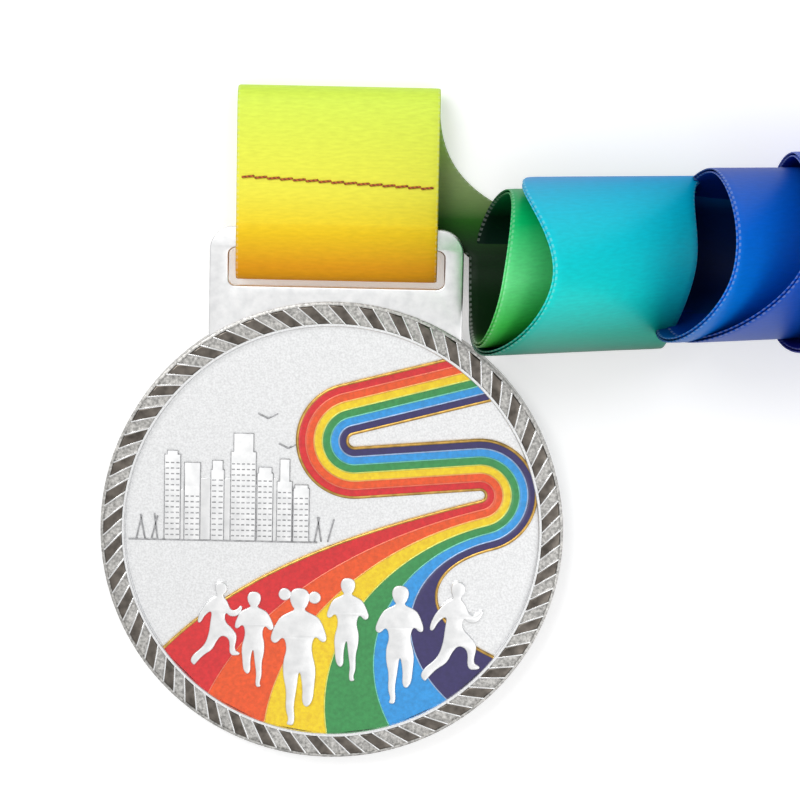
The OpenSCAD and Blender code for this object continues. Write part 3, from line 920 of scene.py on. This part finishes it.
def rim_bar_piece(s):
    """One slanted, crowned bar copied round the channel."""
    r_out, r_in = s.medal_r - 0.5 * MM, s.field_r + 0.5 * MM
    lean = math.degrees(2.6 * MM / r_in)
    half = 360 / s.given.bar_count * 0.25
    corners = [(r_out, -half), (r_out, half), (r_in, half - lean), (r_in, -half - lean)]
    outline = [r * heading(a) for r, a in corners]
    seed = pressed("bar", [outline], s.channel_z - 0.2 * MM, s.medal_t, 0.22 * MM, 40)
    turn = 2 * math.pi / s.given.bar_count
    piece = repeated("rim_bars", seed, s.given.bar_count, (0, 0, 0), turn, bar_painted_dark_metal(), 40)
    rim_edge_piece(s, half, lean)
    return fit(piece, "medal")


def tab_outline(w, inner, top, corner):
    """Up the right side, round the two top corners, down and back along the disc's edge."""
    meet = math.degrees(math.acos(w / inner))
    right = circle_points((w - corner, top - corner), corner, 14, 0, 90)
    left = circle_points((corner - w, top - corner), corner, 14, 90, 180)
    return right + left + circle_points((0, 0), inner, 40, 180 - meet, meet)


def tab_piece(s):
    given = s.given
    w = s.tab_w / 2
    outer = tab_outline(w, s.medal_r - 0.2 * MM, s.tab_top, 3.7 * MM)
    hole = rounded_box(-s.slot_w / 2, s.slot_bottom, s.slot_w / 2, s.slot_top, MM, MM)
    piece = pressed("hanging_tab", [outer, hole], given.tab_height,
                    given.tab_height + given.tab_thickness, 0.28 * MM, 50)
    return fit(piece, "medal", shared("tab silver", smooth_silver, "tab silver", 0.34))


# ---------------------------------------------------------------- the ribbon

LAYER_HALF_GAP = 0.24 * MM
LOOP_HALF_GAP = 2.25 * MM
LIFT = 0.55 * MM
SEAM_RISE = 6.9 * MM
FOLD_RISE = 20.8 * MM
LEAN_HIGH = 44
# How far the curl's first axis lies below the bar
CURL_DROP = 2.65 * MM
# Pulls of the hidden run's curve at the fold and at the curl
UNDER_START_PULL = Vector((0, -21 * MM, 0))
UNDER_END_PULL = Vector((-5 * MM, 6 * MM, 0))
LOOP_STEPS = 4
MERGE_STEPS = 16
PANEL_STEPS = 6
FOLD_STEPS = 24
UNDER_STEPS = 36
CURL_STEPS = 18
# Stations of the curl in millimetres, one for each quarter turn: distance from the side of the
# tab to the ribbon's left edge, radius, height of the axis, shift of the axis along Y
CURL_STATIONS = (
    (0.8, 11.2, 12.9, 0), (1.5, 10.9, 12.9, 0), (5, 10.6, 12.9, 0), (6, 11.2, 12.9, 0),
    (1.6, 12.3, 12.9, 0.3), (2, 12.6, 12.9, 0.6), (11.8, 12.7, 13, 0.4), (8.2, 12.7, 13.2, 0.4),
    (27, 12, 14.5, 1.8), (28.5, 12, 14.6, 2.6), (36.8, 11.6, 14.6, 2.6), (35.1, 12.8, 14.6, 2.2),
    (30, 13, 14.6, 3), (31, 13.3, 14.6, 4), (46.4, 13.2, 14.6, 4), (46.5, 14, 14.6, 3.6),
    (45, 14, 14.6, 4), (47, 14.4, 14.6, 4), (58, 14.4, 14.6, 4), (57, 14.4, 14.6, 4),
    (58, 14.4, 14.6, 4))
QUARTER_TURNS = 17.75


def along(places, at):
    """A point on the smooth curve through a list of places."""
    last = len(places) - 1
    i = min(max(int(math.floor(at)), 0), last - 1)
    p = [Vector(places[min(max(i + k, 0), last)]) for k in (-1, 0, 1, 2)]
    t = at - i
    return (2 * p[1] + (p[2] - p[0]) * t + (2 * p[0] - 5 * p[1] + 4 * p[2] - p[3]) * t * t
            + (3 * p[1] - p[0] - 3 * p[2] + p[3]) * t ** 3) / 2


def curl_step(s, q):
    offset, radius, height, shift = along(CURL_STATIONS, q) * MM
    turn = math.radians(90 * q)
    lean = LEAN_HIGH * (1 - math.cos(turn)) / 2
    x = s.tab_w / 2 + offset + s.given.ribbon_width / 2 * math.cos(math.radians(lean))
    y = s.bar_y - CURL_DROP + shift - radius * math.sin(turn)
    return Vector((x, y, height - radius * math.cos(turn))), lean, LAYER_HALF_GAP


class RibbonPath:
    """The middle line of the ribbon's two layers, from the tab's bar to the end of the curl."""

    def __init__(self, s):
        self.s = s
        self.steps = []
        self.marks = {"start": 0}
        front = s.bar_z + LOOP_HALF_GAP
        seam = s.tab_top + SEAM_RISE
        loop_start = s.slot_bottom + LOOP_HALF_GAP + MM
        loop_end = s.bar_y + 2 * MM
        fold_r = (front - LAYER_HALF_GAP - LIFT) / 2
        fold_y = s.tab_top + FOLD_RISE - fold_r - LAYER_HALF_GAP
        for i in range(LOOP_STEPS + 1):
            self.add((0, blend(loop_start, loop_end, i / LOOP_STEPS), s.bar_z), 0, LOOP_HALF_GAP)
        self.mark("loop")
        for i in range(1, MERGE_STEPS + 1):
            t = i / MERGE_STEPS
            gap = blend(LOOP_HALF_GAP, LAYER_HALF_GAP, t * t * (3 - 2 * t))
            self.add((0, blend(loop_end, seam - 1.5 * MM, t), front - gap), 0, gap)
        self.mark("seam")
        for i in range(PANEL_STEPS + 1):
            self.add((0, blend(seam - 0.5 * MM, fold_y, i / PANEL_STEPS), front - LAYER_HALF_GAP))
        self.mark("panel")
        for i in range(1, FOLD_STEPS):
            a = math.radians(90 - 180 * i / FOLD_STEPS)
            self.add((0, fold_y + fold_r * math.cos(a), LIFT + fold_r + fold_r * math.sin(a)))
        self.mark("fold")
        self.add_under(fold_y)
        for i in range(int(QUARTER_TURNS * CURL_STEPS) + 1):
            q = i / CURL_STEPS
            if q == int(q):
                self.marks[q] = len(self.steps)
            self.steps.append(curl_step(s, q))

    def add(self, place, lean=0, gap=LAYER_HALF_GAP):
        self.steps.append((Vector(place), lean, gap))

    def mark(self, name):
        self.marks[name] = len(self.steps) - 1

    def add_under(self, fold_y):
        """The hidden run from the fold, sideways under the tab, to the start of the curl."""
        start = Vector((0, fold_y, LIFT))
        finish = curl_step(self.s, 0)[0]
        for i in range(UNDER_STEPS):
            t = i / UNDER_STEPS
            p = bezier(start, start + UNDER_START_PULL, finish + UNDER_END_PULL, finish, t)
            self.add((p.x, p.y, blend(LIFT, finish.z, t ** 8)))
            if i == UNDER_STEPS // 5:
                self.mark("under")
            if i == UNDER_STEPS // 2:
                self.mark("tab")

    def width(self, i):
        lean = math.radians(self.steps[i][1])
        return Vector((math.cos(lean), 0, -math.sin(lean)))

    def run(self, i):
        after = self.steps[min(i + 1, len(self.steps) - 1)][0]
        return (after - self.steps[max(i - 1, 0)][0]).normalized()

    def normal(self, i):
        return self.width(i).cross(self.run(i)).normalized()

    def layer(self, i, side):
        return self.steps[i][0] + side * self.steps[i][2] * self.normal(i)

    def turn(self, i, out, first):
        """The half circle that joins both layers at one end of the path."""
        place, _, gap = self.steps[i]
        points = []
        for a in (22.5, 45, 67.5, 90, 112.5, 135, 157.5):
            across = first * math.cos(math.radians(a)) * self.normal(i)
            points.append(place + gap * (across + out * math.sin(math.radians(a)) * self.run(i)))
        return points

    def shares(self):
        """How far along the path each step lies, from 0 to 1."""
        lengths = [0.0]
        for before, after in zip(self.steps, self.steps[1:]):
            lengths.append(lengths[-1] + (after[0] - before[0]).length)
        return [x / lengths[-1] for x in lengths]


def ribbon_band(path):
    """The closed band: out along one layer and back along the other."""
    last = len(path.steps) - 1
    shares = path.shares()
    rows = [(path.layer(i, 1), path.width(i), shares[i]) for i in range(last + 1)]
    rows += [(p, path.width(last), 1.0) for p in path.turn(last, 1, 1)]
    rows += [(path.layer(i, -1), path.width(i), shares[i]) for i in range(last, -1, -1)]
    rows += [(p, path.width(0), 0.0) for p in path.turn(0, -1, -1)]
    return rows


ACROSS = (-1, -0.985, -0.9, -0.5, 0, 0.5, 0.9, 0.985, 1)


def ribbon_section():
    """Points round the ribbon's section: share of the half width, share of the half thickness."""
    upper = [(u, 0.0 if abs(u) == 1 else 0.8 if abs(u) > 0.95 else 1.0) for u in ACROSS]
    return upper + [(u, -h) for u, h in reversed(upper[1:-1])]


def dye_and_light_stops(path):
    """The dye's colours, with their painted highlights and painted shade, at their places along the path.
    """
    shares = path.shares()
    stops = []
    for mark, colour in DYE_AND_PAINTED_LIGHT:
        if isinstance(mark, str):
            share = shares[path.marks[mark]]
        else:
            start = path.marks[0]
            share = shares[min(start + round(mark * CURL_STEPS), len(shares) - 1)]
        stops.append((share, colour))
    return stops


def ribbon_piece(s):
    path = RibbonPath(s)
    rows = ribbon_band(path)
    section = ribbon_section()
    half_w, half_t = s.given.ribbon_width / 2, s.given.ribbon_thickness / 2
    count, size = len(rows), len(section)
    lengths = [0.0]
    for i in range(count):
        lengths.append(lengths[-1] + (rows[(i + 1) % count][0] - rows[i][0]).length)
    points = []
    for i, (place, width, share) in enumerate(rows):
        run = rows[(i + 1) % count][0] - rows[i - 1][0]
        normal = width.cross(run).normalized()
        points += [place + u * half_w * width + h * half_t * normal for u, h in section]
    mesh = bpy.data.meshes.new("neck_ribbon_band")
    mesh.from_pydata([tuple(p) for p in points], [], tube_faces(count, size, True))
    # Place along the path, which picks the dye colour and its painted highlights and painted shade
    dye = mesh.attributes.new("dye", "FLOAT", "POINT")
    dye.data.foreach_set("value", [row[2] for row in rows for _ in section])
    weave = mesh.uv_layers.new(name="weave")
    for face in mesh.polygons:
        wraps = {v // size for v in face.vertices} == {0, count - 1}
        for corner in face.loop_indices:
            row, k = divmod(mesh.loops[corner].vertex_index, size)
            far = lengths[count] if wraps and row == 0 else lengths[row]
            weave.data[corner].uv = ((section[k][0] + 1) / 2, far)
    work = bmesh.new()
    work.from_mesh(mesh)
    bmesh.ops.recalc_face_normals(work, faces=work.faces)
    work.to_mesh(mesh)
    work.free()
    mesh.shade_smooth()
    piece = add_object("neck_ribbon_band", mesh)
    fit(piece, "ribbon", satin(dye_and_light_stops(path)), ["neck_ribbon"])
    return piece, lengths[count]


SEAM_SLANT = -2.6
STITCH_SLANT = 9
STITCH_COUNT = 15
SEAM_MARGINS = 1.5 * MM
THREAD_R = 0.17 * MM


def capsule(name, length, radius, slant):
    """One stitch: a round-ended thread, turned in its plane by the slant."""
    points, steps, round_steps = [], 14, 12
    for i in range(steps + 1):
        t = i / steps
        x = (t - 0.5) * length
        end = min(t, 1 - t) * length
        rounded = math.sqrt(max(radius ** 2 - (radius - end) ** 2, (0.1 * radius) ** 2))
        r = radius if end > radius else rounded
        for k in range(round_steps):
            a = 2 * math.pi * k / round_steps
            points.append(Vector((x, r * math.cos(a), r * math.sin(a))))
    turn = math.radians(slant)
    points = [Vector((p.x * math.cos(turn) - p.y * math.sin(turn),
                      p.x * math.sin(turn) + p.y * math.cos(turn), p.z)) for p in points]
    return mesh_piece(name, points, tube_faces(steps + 1, round_steps, False), 60)


def stitch_piece(s, name, node):
    """A row of stitches across the ribbon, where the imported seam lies."""
    low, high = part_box(node)
    pitch = (s.given.ribbon_width - SEAM_MARGINS) / STITCH_COUNT
    seed = capsule("stitch", pitch + 0.1 * MM, THREAD_R, SEAM_SLANT + STITCH_SLANT)
    slant = math.radians(SEAM_SLANT)
    step = Vector((pitch * math.cos(slant), pitch * math.sin(slant), 0))
    first = (low + high) / 2 - step * (STITCH_COUNT - 1) / 2
    for vertex in seed.data.vertices:
        vertex.co += first
    piece = repeated(name, seed, STITCH_COUNT, step, 0.0, shared("sewing thread", sewing_thread), 60)
    return fit(piece, "ribbon", None, [node])


# ---------------------------------------------------------------- operators


class MEDAL_OT_stage(bpy.types.Operator):
    """Makes the camera, the table, the backdrop light and the lamps"""

    bl_idname = "medal.stage"
    bl_label = "Stage"

    def execute(self, context):
        add_camera(context)
        add_table()
        add_lights(context)
        return {"FINISHED"}


class MEDAL_OT_disc(bpy.types.Operator):
    """Makes the disc, its rim bars and the hanging tab"""

    bl_idname = "medal.disc"
    bl_label = "Disc, rim and tab"

    def execute(self, context):
        s = medal_sizes()
        disc_piece(s)
        rim_bar_piece(s)
        tab_piece(s)
        return {"FINISHED"}


class MEDAL_OT_road(bpy.types.Operator):
    """Makes the enamel lanes and the metal lines beside them"""

    bl_idname = "medal.road"
    bl_label = "Enamel road"

    def execute(self, context):
        road = Road(medal_sizes())
        for i in range(len(LANES)):
            lane_piece(road, i)
        for k in range(len(LANES) + 1):
            road_line(road, k)
        return {"FINISHED"}


class MEDAL_OT_runners(bpy.types.Operator):
    """Makes the raised runners"""

    bl_idname = "medal.runners"
    bl_label = "Runners"

    def execute(self, context):
        s = medal_sizes()
        for spec in RUNNERS:
            runner_piece(s, spec)
        return {"FINISHED"}


class MEDAL_OT_skyline(bpy.types.Operator):
    """Makes the skyline with its towers, windows, reeds and birds"""

    bl_idname = "medal.skyline"
    bl_label = "Skyline"

    def execute(self, context):
        s = medal_sizes()
        for i, spec in enumerate(TOWERS):
            tower_piece(s, i, spec)
            window_piece(s, i, spec)
            tower_outline(s, i, spec)
        block_piece(s)
        ground_piece(s)
        return {"FINISHED"}


class MEDAL_OT_ribbon(bpy.types.Operator):
    """Makes the neck ribbon with the stitches of its seam"""

    bl_idname = "medal.ribbon"
    bl_label = "Neck ribbon"

    def execute(self, context):
        s = medal_sizes()
        band, length = ribbon_piece(s)
        threads = [stitch_piece(s, "needle_stitches", "needle_thread"),
                   stitch_piece(s, "bobbin_stitches", "bobbin_thread")]
        return {"FINISHED"}


class MEDAL_PT_panel(bpy.types.Panel):
    """Sidebar panel with the settings and one button for each group of pieces"""

    bl_idname = "MEDAL_PT_panel"
    bl_label = "Finisher medal"
    bl_space_type = "VIEW_3D"
    bl_region_type = "UI"
    bl_category = "Medal"

    def draw(self, context):
        for name in MedalSettings.__annotations__:
            self.layout.prop(context.scene.medal_settings, name)
        for step in STEPS:
            self.layout.operator(step.bl_idname)


# ---------------------------------------------------------------- stage


VIEW_DISTANCE = 450 * MM
VIEW_TILT = 8.5
VIEW_ROLL = 1.2
VIEW_TARGET = (9.9 * MM, 20.1 * MM, 2.5 * MM)
VIEW_WIDTH = 120.7 * MM


def add_camera(context):
    """Looks down at the medal from just above its tab."""
    data = bpy.data.cameras.new("camera")
    data.sensor_width = 36
    data.lens = data.sensor_width * VIEW_DISTANCE / VIEW_WIDTH
    data.clip_start = 0.01
    camera = add_object("camera", data)
    tilt = math.radians(VIEW_TILT)
    away = Vector((0, math.sin(tilt), math.cos(tilt)))
    place = Vector(VIEW_TARGET) + away * VIEW_DISTANCE
    camera.matrix_world = view_matrix(place, away, math.radians(VIEW_ROLL))
    context.scene.camera = camera


def view_matrix(place, back, roll):
    """A camera matrix that looks against back, with the picture turned clockwise by roll."""
    right = Vector((1, 0, 0))
    up = back.cross(right).normalized()
    turned_right = right * math.cos(roll) + up * math.sin(roll)
    turned_up = back.cross(turned_right).normalized()
    matrix = Matrix((turned_right, turned_up, back)).transposed().to_4x4()
    matrix.translation = place
    return matrix


def add_table():
    """The pale table top under the medal."""
    half = 1.2
    points = [(-half, -half, 0), (half, -half, 0), (half, half, 0), (-half, half, 0)]
    mesh = bpy.data.meshes.new("table_top")
    mesh.from_pydata(points, [], [(0, 1, 2, 3)])
    table = add_object("table_top", mesh)
    paint = Paint("pale table", (0.93, 0.93, 0.93), 0.0, 0.7)
    paint.set("Specular IOR Level", 0.2)
    paint.set("Emission Color", (1, 1, 1, 1))
    paint.set("Emission Strength", 0.3)
    mesh.materials.append(paint.material)


def lamp(name, place, size, power, aim=(0.02, 0.02, 0)):
    data = bpy.data.lights.new(name, "AREA")
    data.shape = "DISK"
    data.size = size
    data.energy = power
    light = add_object(name, data)
    light.location = place
    light.rotation_euler = (Vector(place) - Vector(aim)).to_track_quat("Z", "Y").to_euler()


def add_lights(context):
    """A bright dome that darkens towards the horizon, and two soft lamps."""
    world = bpy.data.worlds.new("studio")
    context.scene.world = world
    world.use_nodes = True
    tree = world.node_tree
    place = tree.nodes.new("ShaderNodeTexCoord")
    parts = tree.nodes.new("ShaderNodeSeparateXYZ")
    ramp = tree.nodes.new("ShaderNodeValToRGB")
    ramp.color_ramp.elements[0].position = 0.02
    ramp.color_ramp.elements[0].color = (0.16, 0.16, 0.17, 1)
    ramp.color_ramp.elements[1].position = 0.75
    ramp.color_ramp.elements[1].color = (1, 1, 1, 1)
    tree.links.new(place.outputs["Generated"], parts.inputs[0])
    tree.links.new(parts.outputs["Z"], ramp.inputs[0])
    tree.links.new(ramp.outputs[0], tree.nodes["Background"].inputs["Color"])
    tree.nodes["Background"].inputs["Strength"].default_value = 0.8
    lamp("key_lamp", (-0.35, 0.5, 0.75), 0.5, 3.0)
    lamp("fill_lamp", (0.5, -0.3, 0.8), 0.7, 1.2)
    context.scene.view_settings.view_transform = "Standard"


# ---------------------------------------------------------------- run


STEPS = (MEDAL_OT_stage, MEDAL_OT_disc, MEDAL_OT_road, MEDAL_OT_runners, MEDAL_OT_skyline, MEDAL_OT_ribbon)
CLASSES = (MedalSettings, *STEPS, MEDAL_PT_panel)


def register():
    for item in CLASSES:
        bpy.utils.register_class(item)
    bpy.types.Scene.medal_settings = bpy.props.PointerProperty(type=MedalSettings)


def unregister():
    del bpy.types.Scene.medal_settings
    for item in reversed(CLASSES):
        bpy.utils.unregister_class(item)


def main():
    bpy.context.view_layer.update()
    register()
    bpy.ops.medal.stage()
    bpy.ops.medal.disc()
    bpy.ops.medal.road()
    bpy.ops.medal.runners()
    bpy.ops.medal.skyline()
    bpy.ops.medal.ribbon()


if __name__ == "__main__":
    main()
